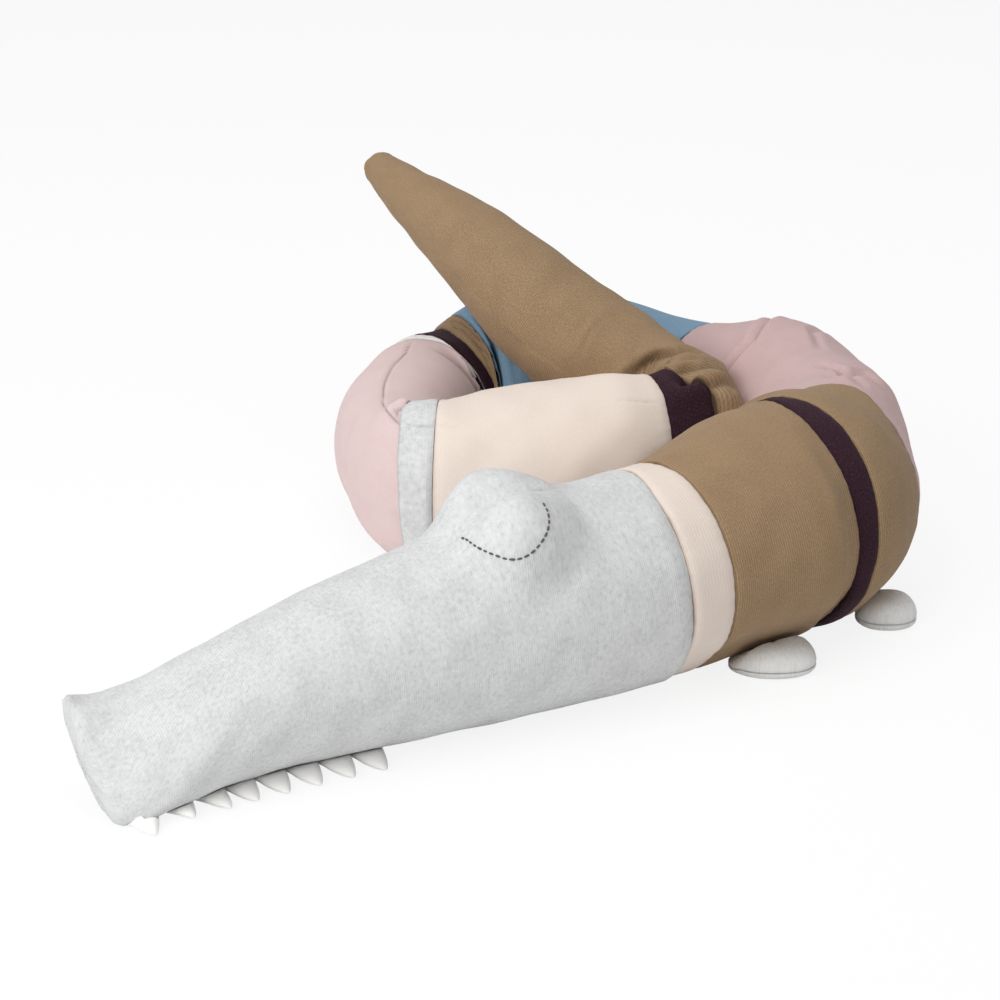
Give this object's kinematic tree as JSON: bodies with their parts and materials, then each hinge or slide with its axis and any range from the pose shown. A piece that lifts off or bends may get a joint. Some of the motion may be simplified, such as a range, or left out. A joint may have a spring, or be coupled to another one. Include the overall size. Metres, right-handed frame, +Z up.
{
  "type": "knitted crocodile cushion",
  "caption": "Long stuffed crocodile cushion in striped knit, coiled on its own body, with the tail lying over the back of the coil.",
  "frame": {"origin": "on the floor plane, under the middle of the bounding box of the coiled cushion", "axes": "+Z up. The snout points to -X and -Y, towards the front left. The coil runs from the head round by +X, then +Y, then -X, and the tail lies over its back part."},
  "size_m": [0.6304, 0.7602, 0.2536],
  "materials": {
    "grey_melange_knit": "soft matte fine knit in mixed light and darker grey yarn",
    "peach_knit": "soft matte fine knit",
    "camel_brown_knit": "soft matte fine knit with a thin darker thread",
    "aubergine_knit": "soft matte fine knit",
    "dusty_pink_knit": "soft matte fine knit",
    "blue_knit": "soft matte fine knit",
    "white_knit": "soft matte fine knit",
    "rose_pink_knit": "soft matte fine knit",
    "eyelid_thread": "matte cotton sewing thread",
    "tooth_cotton": "matte woven cotton, softly padded",
    "fibre_filling": "loose polyester fibre"
  },
  "bodies": {
    "front_body": {"brown_front_panel": "camel_brown_knit", "front_filling": "fibre_filling"},
    "neck": {"collar_band": "peach_knit", "collar_filling": "fibre_filling"},
    "head": {"head_cover": "grey_melange_knit", "head_filling": "fibre_filling", "eyelid_near": "eyelid_thread", "eyelid_far": "eyelid_thread", "tooth_near_1": "tooth_cotton", "tooth_far_1": "tooth_cotton", "tooth_near_2": "tooth_cotton", "tooth_far_2": "tooth_cotton", "tooth_near_3": "tooth_cotton", "tooth_far_3": "tooth_cotton", "tooth_near_4": "tooth_cotton", "tooth_far_4": "tooth_cotton", "tooth_near_5": "tooth_cotton", "tooth_far_5": "tooth_cotton", "tooth_near_6": "tooth_cotton", "tooth_far_6": "tooth_cotton", "tooth_near_7": "tooth_cotton", "tooth_far_7": "tooth_cotton", "tooth_near_8": "tooth_cotton", "tooth_far_8": "tooth_cotton"},
    "middle_body": {"aubergine_front_band": "aubergine_knit", "brown_second_panel": "camel_brown_knit", "pink_right_panel": "dusty_pink_knit", "middle_filling": "fibre_filling"},
    "coil_end": {"blue_back_panel": "blue_knit", "brown_fold_panel": "camel_brown_knit", "aubergine_back_band": "aubergine_knit", "white_band": "white_knit", "pink_left_panel": "rose_pink_knit", "grey_band": "grey_melange_knit", "peach_panel": "peach_knit", "aubergine_tail_band": "aubergine_knit", "coil_end_filling": "fibre_filling"},
    "tail": {"tail_cover": "camel_brown_knit", "tail_filling": "fibre_filling"},
    "front_foot_near": {"front_foot_near_upper_cover": "grey_melange_knit", "front_foot_near_lower_cover": "grey_melange_knit", "front_foot_near_filling": "fibre_filling"},
    "front_foot_far": {"front_foot_far_upper_cover": "grey_melange_knit", "front_foot_far_lower_cover": "grey_melange_knit", "front_foot_far_filling": "fibre_filling"},
    "rear_foot_near": {"rear_foot_near_upper_cover": "grey_melange_knit", "rear_foot_near_lower_cover": "grey_melange_knit", "rear_foot_near_filling": "fibre_filling"},
    "rear_foot_far": {"rear_foot_far_upper_cover": "grey_melange_knit", "rear_foot_far_lower_cover": "grey_melange_knit", "rear_foot_far_filling": "fibre_filling"}
  },
  "joints": [
    {"name": "head_turn", "type": "hinge", "parent": "front_body", "child": "neck", "pos_m": [0.15597, -0.1924, 0], "axis": [0, 0, 1], "range_deg": [0, 25]},
    {"name": "head_lift", "type": "hinge", "parent": "neck", "child": "head", "pos_m": [0.08885, -0.13921, 0.15733], "axis": [-0.503, 0.8643, 0], "range_deg": [0, 20]},
    {"name": "body_open_front", "type": "hinge", "parent": "front_body", "child": "middle_body", "pos_m": [0.25606, -0.13221, 0], "axis": [0, 0, -1], "range_deg": [0, 25]},
    {"name": "body_open_back", "type": "hinge", "parent": "middle_body", "child": "coil_end", "pos_m": [0.19903, 0.31822, 0], "axis": [0, 0, -1], "range_deg": [0, 25]},
    {"name": "tail_lift", "type": "hinge", "parent": "coil_end", "child": "tail", "pos_m": [0.12611, 0.09343, 0.12405], "axis": [0.7169, 0.6972, 0], "range_deg": [0, 35]},
    {"name": "front_foot_near_fold", "type": "hinge", "parent": "front_body", "child": "front_foot_near", "pos_m": [0.16528, -0.1179, 0], "axis": [0.8015, 0.598, 0], "range_deg": [0, 45]},
    {"name": "front_foot_far_fold", "type": "hinge", "parent": "front_body", "child": "front_foot_far", "pos_m": [0.13418, -0.07622, 0], "axis": [-0.8015, -0.598, 0], "range_deg": [0, 45]},
    {"name": "rear_foot_near_fold", "type": "hinge", "parent": "middle_body", "child": "rear_foot_near", "pos_m": [0.24593, -0.04086, 0], "axis": [0.5197, 0.8543, 0], "range_deg": [0, 45]},
    {"name": "rear_foot_far_fold", "type": "hinge", "parent": "middle_body", "child": "rear_foot_far", "pos_m": [0.20151, -0.01383, 0], "axis": [-0.5197, -0.8543, 0], "range_deg": [0, 45]}
  ]
}
